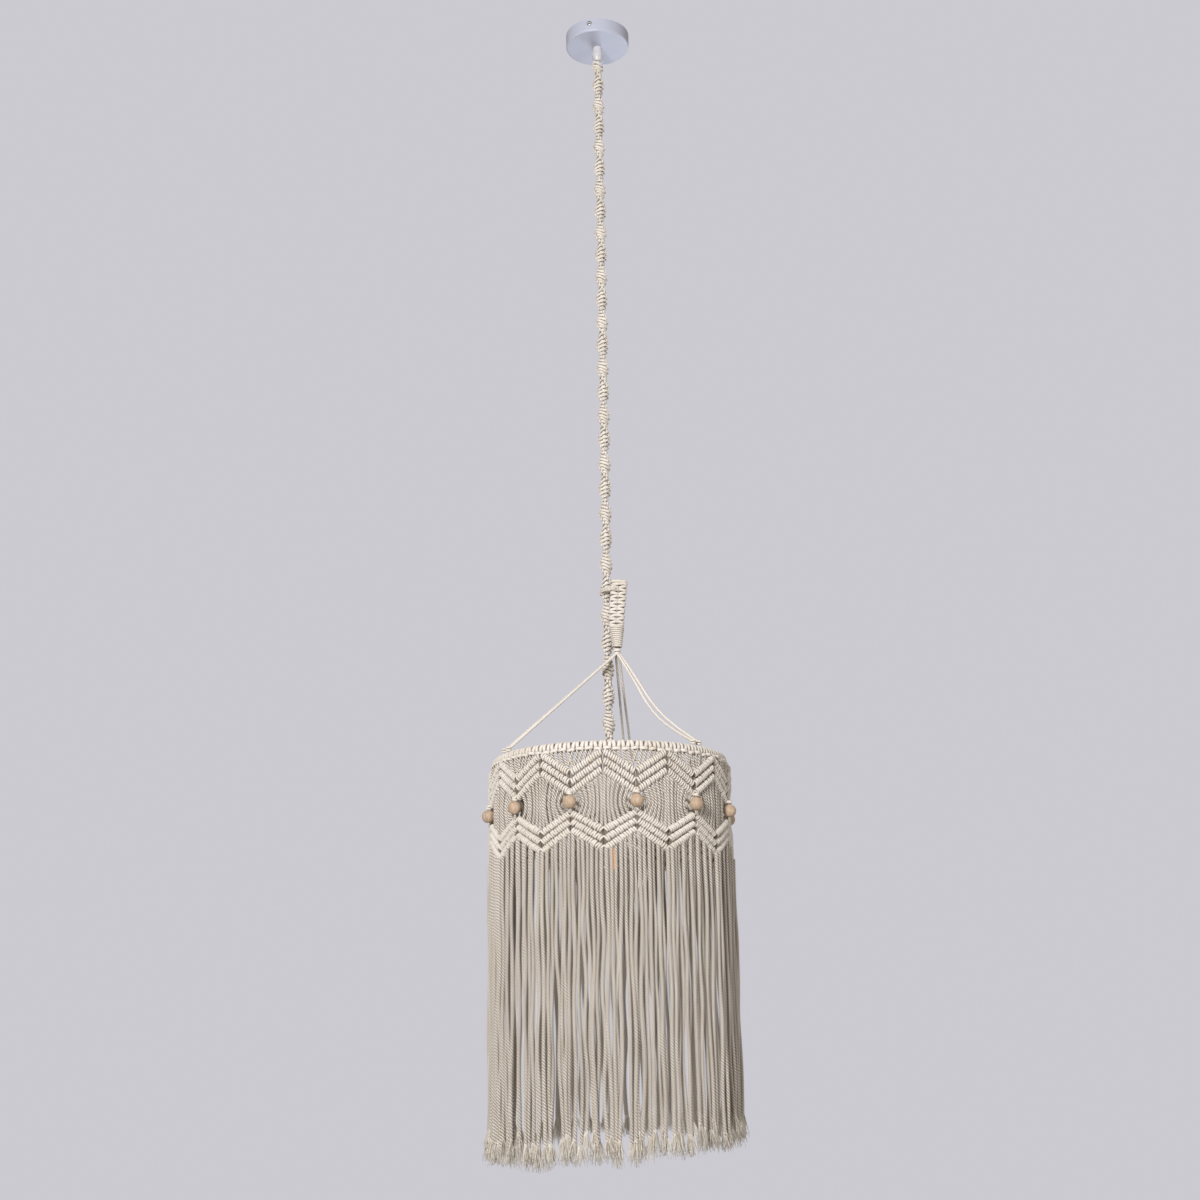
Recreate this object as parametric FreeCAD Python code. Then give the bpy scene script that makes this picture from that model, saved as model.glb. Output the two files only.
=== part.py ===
import FreeCAD, Part
import math
import os

# Macrame pendant lamp: a knotted cotton shade on a 300 mm hoop, hung by three pairs of
# cords beside a cord-covered flex, with an E27 lampholder and a clear globe bulb inside.
# Millimetres. The origin is on the ceiling, at the centre of the canopy, and +Z is up.
# Azimuths are measured from the front (-Y), positive towards +X.

# ---- driving dimensions ----
HOOP_R = 148.0            # centre line of the 4 mm steel hoop, 300 mm outside
HOOP_WIRE_R = 2.0
HOOP_Z = -1095.0
REPEATS = 12              # pattern repeats round the shade
FIRST_BEAD = 11.8         # azimuth of the first bead, degrees
STEP = 360.0 / REPEATS
BAND_IN, BAND_OUT = 151.0, 160.0
BAND_GAP = 0.8            # between a band and the cords above or below it
FRINGE_IN, FRINGE_OUT = 151.5, 159.5
ROW_TOP, ROW_BOTTOM = HOOP_Z + 6.6, HOOP_Z - 6.6
UPPER_PEAK = (-1102.0, -1130.0)      # top and bottom edge of the upper band at its peaks
UPPER_VERTEX = (-1124.0, -1159.0)    # and at its low points, over the beads
LOWER_PEAK = (-1172.5, -1203.0)
LOWER_VERTEX = (-1196.5, -1229.0)
FRINGE_END = -1580.0      # mean height of the fringe's tips
FRINGE_SLOPE = 13.0       # how much lower the fringe ends towards the front left
BEAD_R, BEAD_HOLE_R, BEAD_AT = 9.0, 3.0, 161.0
BEAD_Z = -1165.5

CANOPY_R, CANOPY_H, CANOPY_WALL = 46.4, 20.0, 1.2
SCREW_AZ, SCREW_Z = -14.0, -8.0      # the two side screws are on this line
SLOT_SPACING, SLOT_R, SLOT_LENGTH = 50.0, 2.25, 10.0
TERMINAL_Z = -8.0
FLEX_R = 3.1
COVER_R = 7.6             # knotted cover round the flex
GRIP_TIP = -42.0          # where the flex leaves the cord grip
SWING_Z = -42.6           # the lamp swings about this height, just under the grip
HANGING_TOP = -43.6       # top of the parts that swing
COVER_END = -1107.0
HOLDER_TOP = -1107.5

LOOP_X = (4.6, 25.4)      # outer sides of the loop, beside the flex
LOOP_Y = (-19.5, -8.0)
LOOP_Z = (-845.0, -909.7)
EYE_X = (13.2, 16.8)
WRAP_AT = (13.0, -12.0)   # axis of the gathering wrap, under the loop
WRAP_Z = (-910.0, -938.0)
GATHER = FreeCAD.Vector(13.0, -12.0, -943.0)   # the shade tilts about this knot
GATHER_R = 4.8
STRING_R = 1.8
STRING_KNOT_R = 3.5
STRING_KNOT_Z = ROW_TOP + 0.3 + STRING_KNOT_R

BULB_R, BULB_Z = 47.5, -1236.0
BULB_CAP = (-1144.5, -1171.0)
BULB_CAP_R = 13.2

STRING_PAIRS = {                      # azimuths at the hoop of the two cords of each pair
    "string_pair_left": (-65.5, -61.0),
    "string_pair_back": (166.6, 170.6),
    "string_pair_right": (45.5, 50.0),
}
# The right pair is slack: how far its middle points hang under the straight line, by their
# share of the way down.
SAG = ((0.20, 7.0), (0.43, 21.0), (0.70, 17.0))

V = FreeCAD.Vector
DOWN = V(0, 0, -1)
os.makedirs("parts", exist_ok=True)


def save(name, *solids):
    """One solid, or several separate ones, in one file."""
    shape = solids[0] if len(solids) == 1 else Part.makeCompound(list(solids))
    shape.exportStep("parts/" + name + ".step")


def place(azimuth, radius, z):
    """A point at an azimuth from the front, a distance from the axis and a height."""
    a = math.radians(azimuth)
    return V(radius * math.sin(a), -radius * math.cos(a), z)


def tube(r_out, r_in, top, bottom, x=0.0, y=0.0):
    """Upright tube; no bore where r_in is 0."""
    outer = Part.makeCylinder(r_out, top - bottom, V(x, y, bottom))
    if r_in <= 0:
        return outer
    return outer.cut(Part.makeCylinder(r_in, top - bottom + 2, V(x, y, bottom - 1)))


def turned(points):
    """Solid turned about the Z axis from (radius, z) corners."""
    wire = Part.makePolygon([V(r, 0, z) for r, z in points + points[:1]])
    return Part.Face(wire).revolve(V(0, 0, 0), V(0, 0, 1), 360)


def rod(start, end, radius):
    return Part.makeCylinder(radius, (end - start).Length, start, end - start)


def cord_tube(points, radius, name):
    """Tube along straight runs joined by tangent arcs as large as the runs allow."""
    edges, last = [], points[0]
    for i in range(1, len(points) - 1):
        here = points[i]
        back, ahead = points[i - 1] - here, points[i + 1] - here
        turn = math.pi - back.getAngle(ahead)
        cut = 0.45 * min(back.Length, ahead.Length)
        bend = cut / math.tan(turn / 2)
        back.normalize()
        ahead.normalize()
        start, end = here + back * cut, here + ahead * cut
        inward = back + ahead
        inward.normalize()
        middle = here + inward * (bend / math.cos(turn / 2) - bend)
        edges.append(Part.LineSegment(last, start).toShape())
        edges.append(Part.Arc(start, middle, end).toShape())
        last = end
        print(name, "bend radius", round(bend, 1))
    edges.append(Part.LineSegment(last, points[-1]).toShape())
    path = Part.Wire(edges)
    section = Part.Wire(Part.makeCircle(radius, points[0], points[1] - points[0]))
    solid = path.makePipeShell([section], True, False)
    expected = math.pi * radius ** 2 * path.Length
    print(name, "length", round(path.Length, 1), "volume ratio", round(solid.Volume / expected, 4))
    return solid


def plate(az_a, edge_a, az_b, edge_b, r_in, r_out):
    """Flat-sided plate between two azimuths; each edge gives its top and bottom height."""
    corners = {}
    for side, (azimuth, (top, bottom)) in enumerate(((az_a, edge_a), (az_b, edge_b))):
        for level, z in enumerate((top, bottom)):
            for depth, radius in enumerate((r_in, r_out)):
                corners[side, level, depth] = place(azimuth, radius, z)

    def face(*keys):
        points = [corners[k] for k in keys]
        return Part.Face(Part.makePolygon(points + points[:1]))

    faces = []
    for depth in (0, 1):
        faces.append(face((0, 0, depth), (1, 0, depth), (1, 1, depth), (0, 1, depth)))
    for side in (0, 1):
        faces.append(face((side, 0, 0), (side, 0, 1), (side, 1, 1), (side, 1, 0)))
    for level in (0, 1):
        faces.append(face((0, level, 0), (0, level, 1), (1, level, 1)))
        faces.append(face((0, level, 0), (1, level, 1), (1, level, 0)))
    solid = Part.Solid(Part.Shell(faces))
    if solid.Volume < 0:
        solid.reverse()
    return solid


def bead_azimuths():
    return [FIRST_BEAD + STEP * i for i in range(REPEATS)]


def bead_pocket(azimuth):
    return Part.makeSphere(BEAD_R + 0.2, place(azimuth, BEAD_AT, BEAD_Z))


# ---- ceiling end ----
def ceiling_bracket():
    """Stamped cross: a slotted strap along X and a strap with two turned-down ears."""
    thick, ear_in, ear_out = 1.5, 40.5, 42.5
    strap = Part.makeBox(76, 14, thick, V(-38, -7, -thick))
    for x in (-SLOT_SPACING / 2, SLOT_SPACING / 2):
        half = SLOT_LENGTH / 2 - SLOT_R
        slot = Part.makeBox(2 * half, 2 * SLOT_R, 4, V(x - half, -SLOT_R, -3))
        slot = slot.fuse([Part.makeCylinder(SLOT_R, 4, V(x + s * half, 0, -3)) for s in (-1, 1)])
        strap = strap.cut(slot.removeSplitter())
    cross = Part.makeBox(12, 2 * ear_out, thick, V(-6, -ear_out, -thick))
    ears = [Part.makeBox(12, ear_out - ear_in, 12.5, V(-6, y, -13)) for y in (-ear_out, ear_in)]
    cross = cross.fuse(ears)
    cross = cross.cut(Part.makeCylinder(2.05, 100, V(0, -50, SCREW_Z), V(0, 1, 0)))
    cross.rotate(V(0, 0, 0), V(0, 0, 1), SCREW_AZ)
    centre_hole = Part.makeCylinder(5.0, 4, V(0, 0, -3))
    save("ceiling_bracket", strap.fuse(cross).removeSplitter().cut(centre_hole))


def circles_at(shape, height):
    """The whole round edges of a turned shape at one height."""
    return [e for e in shape.Edges if abs(e.BoundBox.ZMax - height) < 0.01 and e.Length > 2 * CANOPY_R]


def canopy_cup():
    outer = Part.makeCylinder(CANOPY_R, CANOPY_H, V(0, 0, -CANOPY_H))
    outer = outer.makeFillet(2.5, circles_at(outer, -CANOPY_H))
    hollow = Part.makeCylinder(CANOPY_R - CANOPY_WALL, CANOPY_H, V(0, 0, CANOPY_WALL - CANOPY_H))
    cup = outer.cut(hollow.makeFillet(1.6, circles_at(hollow, CANOPY_WALL - CANOPY_H)))
    cup = cup.cut(Part.makeCylinder(5.1, 4, V(0, 0, -CANOPY_H - 1)))
    side = place(SCREW_AZ, 60, SCREW_Z)
    cup = cup.cut(Part.makeCylinder(2.2, 120, side, V(-side.x, -side.y, 0)))
    save("canopy_cup", cup)


def canopy_side_screws():
    screws = []
    for azimuth in (SCREW_AZ, SCREW_AZ + 180):
        outward = place(azimuth, 1, 0)
        shank = Part.makeCylinder(2.0, CANOPY_R - 38, place(azimuth, 38, SCREW_Z), outward)
        head = Part.makeCylinder(3.6, 2.2, place(azimuth, CANOPY_R + 0.05, SCREW_Z), outward)
        end = place(azimuth, CANOPY_R + 2.25, SCREW_Z)
        rim = [e for e in head.Edges if e.Length > 20 and abs(e.CenterOfMass.distanceToPoint(end)) < 0.01]
        head = head.makeFillet(1.0, rim)
        slot = Part.makeBox(0.9, 8, 1.0, V(-0.45, -4, -0.5))
        slot.rotate(V(0, 0, 0), V(0, 1, 0), 90)
        slot.rotate(V(0, 0, 0), V(0, 0, 1), azimuth - 90)
        slot.translate(end)
        screws.append(shank.fuse(head).removeSplitter().cut(slot))
    save("canopy_side_screws", *screws)


def cord_grip():
    bore = FLEX_R + 0.05
    body = turned([(bore, -14.0), (5.0, -14.0), (5.0, -20.0), (6.7, -20.0), (6.7, -25.0),
                   (7.6, -26.0), (7.6, -29.5), (5.6, -29.5), (5.6, -34.0), (5.0, -34.0),
                   (5.0, -30.5), (bore, -30.5)])
    save("cord_grip_body", body)
    nut = turned([(5.65, -29.7), (7.7, -29.7), (7.7, -34.5), (6.9, -37.5), (5.2, -41.0),
                  (4.9, GRIP_TIP), (bore + 0.4, GRIP_TIP), (bore + 0.4, -39.2), (5.65, -37.2)])
    save("cord_grip_nut", nut)
    save("cord_grip_bush", tube(4.9, bore, -30.6, -37.1))
    turns = [math.radians(60 * k) for k in range(7)]
    hexagon = Part.Face(Part.makePolygon([V(8 * math.cos(t), 8 * math.sin(t), -18.7) for t in turns]))
    nut = hexagon.extrude(V(0, 0, 3.0)).cut(Part.makeCylinder(5.05, 6, V(0, 0, -20)))
    save("cord_grip_locknut", nut)


def terminal_block():
    """Two-way block inside the cup, with a wire bore and a screw bore for each core."""
    block = Part.makeBox(24, 15, 11, V(-12, 14, TERMINAL_Z - 5.5))
    for x in (-5, 5):
        block = block.cut(Part.makeCylinder(1.6, 17, V(x, 13, TERMINAL_Z), V(0, 1, 0)))
        block = block.cut(Part.makeCylinder(1.8, 7, V(x, 18, TERMINAL_Z - 6), V(0, 0, 1)))
    save("terminal_block", block)


def flex_cores():
    """The two cores of the flex, bare of their sheath, bent over to the terminals."""
    cores = []
    for side in (-1, 1):
        foot, end = V(side * 1.4, 0, -11.9), V(side * 5, 17, TERMINAL_Z)
        corner = V(foot.x, foot.y, TERMINAL_Z)
        cores.append(cord_tube([foot, corner, V(side * 5, 11, TERMINAL_Z), end], 1.1, "flex_core"))
    save("flex_cores", *cores)


def flex():
    save("flex_top", tube(FLEX_R, 0, -12.0, GRIP_TIP - 0.1))
    save("flex", tube(FLEX_R, 0, HANGING_TOP, HOLDER_TOP + 0.2))


# ---- hanging cord, loop and wrap ----
def cord_cover():
    """The cover starts at a small knot; the two meet on a ball about the swing's pivot."""
    save("cover_top_knot", turned([(3.8, HANGING_TOP), (4.8, HANGING_TOP), (6.4, -46.4), (6.4, -47.2),
                                   (5.5, -48.3), (5.15, -48.3)]))
    ball = Part.makeSphere(8.2, V(0, 0, SWING_Z))
    save("cord_cover", tube(COVER_R, FLEX_R + 0.2, SWING_Z - 3, COVER_END).cut(ball))


def hanging_loop():
    """Flat knotted band folded over, its two legs side by side with a narrow eye between."""
    mid, half = sum(LOOP_X) / 2, (LOOP_X[1] - LOOP_X[0]) / 2
    depth = LOOP_Y[1] - LOOP_Y[0]
    round_z = LOOP_Z[0] - half
    body = Part.makeBox(2 * half, depth, round_z - LOOP_Z[1], V(LOOP_X[0], LOOP_Y[0], LOOP_Z[1]))
    body = body.fuse(Part.makeCylinder(half, depth, V(mid, LOOP_Y[0], round_z), V(0, 1, 0)))
    eye_top, eye_r = LOOP_Z[0] - 8.5, (EYE_X[1] - EYE_X[0]) / 2
    eye = Part.makeBox(2 * eye_r, depth + 2, 38, V(EYE_X[0], LOOP_Y[0] - 1, eye_top - 38))
    eye = eye.fuse(Part.makeCylinder(eye_r, depth + 2, V(mid, LOOP_Y[0] - 1, eye_top), V(0, 1, 0)))
    save("hanging_loop", body.removeSplitter().cut(eye.removeSplitter()))


def loop_tie():
    """Three turns of thin cord round the covered flex and through the loop's eye."""
    r = COVER_R + 0.4
    a, b, c = (V(r * math.cos(math.radians(t)), r * math.sin(math.radians(t)), 0) for t in (210, 90, 10))
    corners = [c, V(13.9, -2, 0), V(13.9, LOOP_Y[0] - 0.4, 0), V(4.2, LOOP_Y[0] - 0.4, 0), a]
    edges = [Part.Arc(a, b, c).toShape()]
    edges += [Part.LineSegment(p, q).toShape() for p, q in zip(corners, corners[1:])]
    inside = Part.Face(Part.Wire(edges))
    band = Part.Face(inside.makeOffset2D(2.1).OuterWire).extrude(V(0, 0, 6))
    band = band.cut(inside.extrude(V(0, 0, 6)))
    band.translate(V(0, 0, LOOP_Z[0] - 16))
    save("loop_tie", band)


def gathering_wrap():
    cone = Part.makeCone(5.4, 9.4, WRAP_Z[0] - WRAP_Z[1], V(WRAP_AT[0], WRAP_AT[1], WRAP_Z[1]))
    save("gathering_wrap", cone)


# ---- suspension cords ----
def string_routes(name):
    """Route of each cord of a pair, from the gathering knot down to its knot on the hoop."""
    routes = []
    for side, azimuth in zip((-1, 1), STRING_PAIRS[name]):
        foot = place(azimuth, HOOP_R, STRING_KNOT_Z)
        outward = V(foot.x - GATHER.x, foot.y - GATHER.y, 0).normalize()
        across = V(-outward.y, outward.x, 0) * (2.1 * side)
        head = GATHER + across + outward * 2.6 + V(0, 0, -4.9)
        reach = foot - head
        foot = head + reach * ((reach.Length - STRING_KNOT_R - 0.1) / reach.Length)
        middle = []
        if name == "string_pair_right":
            middle = [head + (foot - head) * t - V(0, 0, drop) for t, drop in SAG]
        routes.append([head] + middle + [foot])
    return routes


def strings():
    for name in STRING_PAIRS:
        save(name, *[cord_tube(route, STRING_R, name) for route in string_routes(name)])
    knots = [Part.makeSphere(STRING_KNOT_R, place(azimuth, HOOP_R, STRING_KNOT_Z))
             for pair in STRING_PAIRS.values() for azimuth in pair]
    save("string_end_knots", *knots)
    save("gather_knot", Part.makeSphere(GATHER_R, GATHER))


# ---- shade ----
def hoop_and_heads():
    save("ring_hoop", Part.makeTorus(HOOP_R, HOOP_WIRE_R, V(0, 0, HOOP_Z)))
    sectors, gap = [], 0.08
    for i in range(REPEATS):
        row = Part.makeTorus(HOOP_R, 6.6, V(0, 0, HOOP_Z), V(0, 0, 1), -180, 180, STEP - gap)
        core = Part.makeTorus(HOOP_R, HOOP_WIRE_R + 0.1, V(0, 0, HOOP_Z))
        sector = row.cut(core)
        sector.rotate(V(0, 0, 0), V(0, 0, 1), FIRST_BEAD + STEP * i)
        sectors.append(sector)
    save("larks_head_row", *sectors)


def zigzag(peak, vertex, low_at_beads, r_in, r_out):
    """Plates round the shade between its peaks and its low points."""
    plates = []
    for bead in bead_azimuths():
        at_bead, between = (vertex, peak) if low_at_beads else (peak, vertex)
        pocket = bead_pocket(bead)
        for side in (-STEP / 2, STEP / 2):
            piece = plate(bead, at_bead, bead + side, between, r_in, r_out)
            plates.append(piece.cut(pocket))
    return plates


def shade_bands():
    # the cords from the row down to the first ridge: nothing at the peaks, deepest at the beads
    top = ROW_BOTTOM - 0.1
    deep, shallow = (top, UPPER_VERTEX[0] + BAND_GAP), (top, top - 0.6)
    head = [plate(az, deep, az + side, shallow, BAND_IN, BAND_OUT - 5)
            for az in bead_azimuths() for side in (-0.93 * STEP / 2, 0.93 * STEP / 2)]
    save("head_cords", *head)
    save("upper_chevron_band", *zigzag(UPPER_PEAK, UPPER_VERTEX, True, BAND_IN, BAND_OUT))
    tall = (UPPER_PEAK[1] - BAND_GAP, LOWER_VERTEX[0] + BAND_GAP)
    short = (UPPER_VERTEX[1] - BAND_GAP, LOWER_PEAK[0] + BAND_GAP)
    middle = zigzag(tall, short, True, BAND_IN + 1, BAND_OUT - 3)
    for azimuth in bead_azimuths():               # and the pair of cords through each bead
        ends = [place(azimuth, BEAD_AT, BEAD_Z + dz) for dz in (-6.8, 8)]
        middle.append(rod(*ends, BEAD_HOLE_R - 0.1))
    save("middle_cords", *middle)
    save("lower_chevron_band", *zigzag(LOWER_PEAK, LOWER_VERTEX, False, BAND_IN, BAND_OUT))


def beads():
    for i, azimuth in enumerate(bead_azimuths()):
        centre = place(azimuth, BEAD_AT, BEAD_Z)
        hole = Part.makeCylinder(BEAD_HOLE_R, 4 * BEAD_R, centre + DOWN * 2 * BEAD_R)
        save("wooden_bead_%02d" % (i + 1), Part.makeSphere(BEAD_R, centre).cut(hole))


def fringe_end(azimuth):
    return FRINGE_END - FRINGE_SLOPE * math.cos(math.radians(azimuth + 45))


def fringe():
    for i, bead in enumerate(bead_azimuths()):
        halves = [plate(bead, (LOWER_PEAK[1] - BAND_GAP, fringe_end(bead)),
                        bead + side, (LOWER_VERTEX[1] - BAND_GAP, fringe_end(bead + side)),
                        FRINGE_IN, FRINGE_OUT) for side in (-STEP / 2, STEP / 2)]
        save("fringe_%02d" % (i + 1), halves[0].fuse(halves[1]).removeSplitter())


# ---- lampholder and bulb ----
def lampholder():
    top = HOLDER_TOP
    cap = turned([(FLEX_R + 0.2, top), (9.5, top), (14.5, top - 3.5), (18.0, top - 9),
                  (19.5, top - 17), (19.5, top - 19), (17.6, top - 19), (16.2, top - 9.5),
                  (8.5, top - 4), (FLEX_R + 0.2, top - 4)])
    save("lampholder_cap", cap)
    body = turned([(13.8, -1126.7), (19.5, -1126.7), (19.5, -1149.0), (18.6, -1149.6), (18.6, -1169.5),
                   (14.6, -1169.5), (13.8, -1168.7)])
    save("lampholder_body", body)
    insert = tube(13.6, 0, -1127.0, -1136.0)
    tongue = Part.makeBox(7, 4, 1.0, V(-3.5, -2, -1138.5))
    insert = insert.fuse(Part.makeBox(2, 4, 3, V(-3.5, -2, -1138.5))).fuse(tongue).removeSplitter()
    save("lampholder_insert", insert)
    save("lampholder_ring", turned([(18.9, -1152.0), (24.0, -1152.0), (24.6, -1153.0),
                                    (24.6, -1159.0), (24.0, -1160.0), (18.9, -1160.0)]))


def bulb_outline(r_ball, neck_r, top):
    """Bulb turned from its half section: a straight neck that flows into a ball."""
    join = math.radians(52)                         # where the neck meets the ball
    meet = V(r_ball * math.sin(join), 0, BULB_Z + r_ball * math.cos(join))
    low = V(0, 0, BULB_Z - r_ball)
    side = V(r_ball, 0, BULB_Z)
    neck = Part.BezierCurve()
    slope = V(-math.cos(join), 0, math.sin(join))
    shoulder = BULB_CAP[1] - 0.3
    neck.setPoles([V(neck_r, 0, shoulder), V(neck_r, 0, shoulder - 10), meet + slope * 15, meet])
    edges = [Part.LineSegment(V(0, 0, top), V(neck_r, 0, top)).toShape(),
             Part.LineSegment(V(neck_r, 0, top), V(neck_r, 0, shoulder)).toShape(), neck.toShape(),
             Part.Arc(meet, side, low).toShape(), Part.LineSegment(low, V(0, 0, top)).toShape()]
    return Part.Face(Part.Wire(edges)).revolve(V(0, 0, 0), V(0, 0, 1), 360)


def bulb():
    top = BULB_CAP[1] + 3
    glass = bulb_outline(BULB_R, 12.4, top).cut(bulb_outline(BULB_R - 1.1, 11.3, top + 0.01))
    save("bulb_glass", glass)
    cap = turned([(0, BULB_CAP[0] - 1.5), (8.5, BULB_CAP[0] - 1.5), (BULB_CAP_R, BULB_CAP[0] - 4.5),
                  (BULB_CAP_R, BULB_CAP[1]), (12.5, BULB_CAP[1]), (12.5, BULB_CAP[0] - 6),
                  (0, BULB_CAP[0] - 6)])
    save("bulb_cap", cap)
    save("bulb_contact", Part.makeCone(7.5, 4.8, 1.4, V(0, 0, BULB_CAP[0] - 1.45)))
    save("bulb_stem", turned([(0, top - 2), (9.5, top - 2), (8.0, top - 9), (3.2, top - 18),
                              (2.4, -1201.0), (0, -1201.0)]))
    filament = rod(V(4.5, 0, -1207), V(4.5, 0, -1232), 1.3)
    wires = [rod(V(1.0, 0, -1201.3), V(4.5, 0, -1207.5), 0.5),
             rod(V(-1.2, 0, -1201.05), V(-1.2, 0, -1234.5), 0.5),
             rod(V(-1.2, 0, -1234.3), V(4.5, 0, -1231.6), 0.5)]
    save("bulb_filament", filament.fuse(wires).removeSplitter())


ceiling_bracket()
canopy_cup()
canopy_side_screws()
cord_grip()
terminal_block()
flex_cores()
flex()
cord_cover()
hanging_loop()
loop_tie()
gathering_wrap()
strings()
hoop_and_heads()
shade_bands()
beads()
fringe()
lampholder()
bulb()
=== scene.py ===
import math
import random

import bmesh
import bpy
import numpy as np
from mathutils import Matrix, Vector


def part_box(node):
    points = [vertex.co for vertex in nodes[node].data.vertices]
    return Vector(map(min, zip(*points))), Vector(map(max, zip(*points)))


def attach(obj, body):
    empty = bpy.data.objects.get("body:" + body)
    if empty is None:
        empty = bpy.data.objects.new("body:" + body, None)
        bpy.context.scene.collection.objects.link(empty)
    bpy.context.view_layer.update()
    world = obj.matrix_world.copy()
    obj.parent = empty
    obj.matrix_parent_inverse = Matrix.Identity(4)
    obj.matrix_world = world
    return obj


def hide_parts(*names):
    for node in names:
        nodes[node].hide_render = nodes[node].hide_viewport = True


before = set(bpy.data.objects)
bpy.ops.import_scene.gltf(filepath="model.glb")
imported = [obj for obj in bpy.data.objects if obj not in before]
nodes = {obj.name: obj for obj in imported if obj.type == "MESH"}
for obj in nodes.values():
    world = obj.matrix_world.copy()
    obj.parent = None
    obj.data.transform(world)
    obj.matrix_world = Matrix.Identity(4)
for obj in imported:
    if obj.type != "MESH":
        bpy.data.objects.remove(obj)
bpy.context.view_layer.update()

# ---- Camera ----
# It stands in front of the shade at about the height of the fringe and looks up at the canopy,
# with a slightly long lens and the horizon turned by about a degree.
FOCAL_MM = 51.0
CAMERA_AT = (-0.0056, -2.2285, -1.4673)
PITCH, ROLL, PAN = math.radians(15.03), math.radians(-0.90), math.radians(0.09)

lens = bpy.data.cameras.new("camera")
lens.lens = FOCAL_MM
camera = bpy.data.objects.new("camera", lens)
bpy.context.scene.collection.objects.link(camera)
camera.matrix_world = (Matrix.Translation(CAMERA_AT) @ Matrix.Rotation(PAN, 4, "Z")
                       @ Matrix.Rotation(math.pi / 2 + PITCH, 4, "X") @ Matrix.Rotation(ROLL, 4, "Z"))
bpy.context.scene.camera = camera
bpy.context.scene.view_settings.view_transform = "Standard"


# ---- Canopy ----
# A shallow spun-steel cup, powder coated white, held to its bracket by two side screws. Its rim
# meets the ceiling, and the bracket and the wiring are inside it.
def plain(name, colour, roughness, metallic=0.0, bump=0.05, scale=300.0, coat=0.0, tint=0.03):
    """Hard finish with a fine grain in its height and a faint unevenness in its colour."""
    material = bpy.data.materials.new(name)
    material.use_nodes = True
    tree = material.node_tree
    shader = tree.nodes["Principled BSDF"]
    shader.inputs["Roughness"].default_value = roughness
    shader.inputs["Metallic"].default_value = metallic
    shader.inputs["Coat Weight"].default_value = coat
    where = tree.nodes.new("ShaderNodeTexCoord")
    grain = tree.nodes.new("ShaderNodeTexNoise")
    grain.inputs["Scale"].default_value = scale
    grain.inputs["Detail"].default_value = 4.0
    ramp = tree.nodes.new("ShaderNodeValToRGB")
    ramp.color_ramp.elements[0].position = 0.3
    ramp.color_ramp.elements[0].color = tuple(c * (1 - tint) for c in colour) + (1,)
    ramp.color_ramp.elements[1].position = 0.7
    ramp.color_ramp.elements[1].color = colour + (1,)
    raised = tree.nodes.new("ShaderNodeBump")
    raised.inputs["Strength"].default_value = bump
    raised.inputs["Distance"].default_value = 0.0002
    tree.links.new(where.outputs["Object"], grain.inputs["Vector"])
    tree.links.new(grain.outputs["Fac"], ramp.inputs["Fac"])
    tree.links.new(ramp.outputs["Color"], shader.inputs["Base Color"])
    tree.links.new(grain.outputs["Fac"], raised.inputs["Height"])
    tree.links.new(raised.outputs["Normal"], shader.inputs["Normal"])
    return material


def finish_node(material, *names):
    """Give a material to CAD nodes whose shape is kept."""
    for name in names:
        mesh = nodes[name].data
        mesh.materials.clear()
        mesh.materials.append(material)


white_coat = plain("white_powder_coat", (0.52, 0.55, 0.68), 0.42, bump=0.12, scale=1400.0)
zinc = plain("bright_zinc", (0.66, 0.67, 0.69), 0.32, metallic=1.0, scale=600.0)
finish_node(white_coat, "canopy_cup")
finish_node(zinc, "ceiling_bracket", "canopy_side_screws", "cord_grip_locknut", "ring_hoop")


# ---- Cord grip and wiring ----
# A moulded compression grip: a body screwed through the cup, a nut and a soft bush that clamps
# the flex. Inside the cup the two cores run to a terminal block.
white_moulding = plain("white_moulding", (0.62, 0.615, 0.64), 0.3, scale=500.0)
block_moulding = plain("block_moulding", (0.8, 0.8, 0.76), 0.5, scale=500.0)
sheath = plain("flex_sheath", (0.8, 0.79, 0.75), 0.45, scale=700.0)
finish_node(white_moulding, "cord_grip_body", "cord_grip_nut")
finish_node(block_moulding, "terminal_block")
finish_node(sheath, "cord_grip_bush", "flex_cores", "flex_top")


# ---- Flex ----
# Round mains flex that carries the lamp, straight under its weight, from the cord grip down to
# the lampholder. The knotted cover hides all but its two ends.
FLEX_D = 0.0062
flex_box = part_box("flex")
flex_top, flex_end = flex_box[1][2], flex_box[0][2]

flex_curve = bpy.data.curves.new("flex_cable", "CURVE")
flex_curve.dimensions = "3D"
flex_curve.bevel_depth = FLEX_D / 2
flex_curve.bevel_resolution = 3
flex_curve.use_fill_caps = True
flex_line = flex_curve.splines.new("NURBS")
flex_line.points.add(3)
for point, share in zip(flex_line.points, (0.0, 0.33, 0.67, 1.0)):
    point.co = (0, 0, flex_top + (flex_end - flex_top) * share, 1)
flex_line.order_u = 3
flex_line.use_endpoint_u = True
flex_curve.materials.append(sheath)
flex_cable = bpy.data.objects.new("flex_cable", flex_curve)
bpy.context.scene.collection.objects.link(flex_cable)
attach(flex_cable, "hanging_cord")
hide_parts("flex")


# ---- Knotted cover of the flex ----
# A spiral of half knots in undyed three-strand cotton cord, tied round the flex. Each knot is a flat
# turn of cord that crosses in front and behind; the row turns on itself, so its edges bulge twice in
# every turn. The cotton is matte and mottled, and brown painted shade darkens the inside of a knot
# and the valleys between strands.
COTTON = (0.82, 0.775, 0.72, 1)
COTTON_MOTTLED = (0.68, 0.62, 0.54, 1)
# Painted shade: the dark brown that the cotton is given deep in a knot and between strands.
COTTON_PAINTED_SHADE = (0.115, 0.075, 0.038, 1)
GROOVE_SHADE = "painted_shade"         # attribute: how deep a point lies in a knot or between strands, 0 to 1


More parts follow.
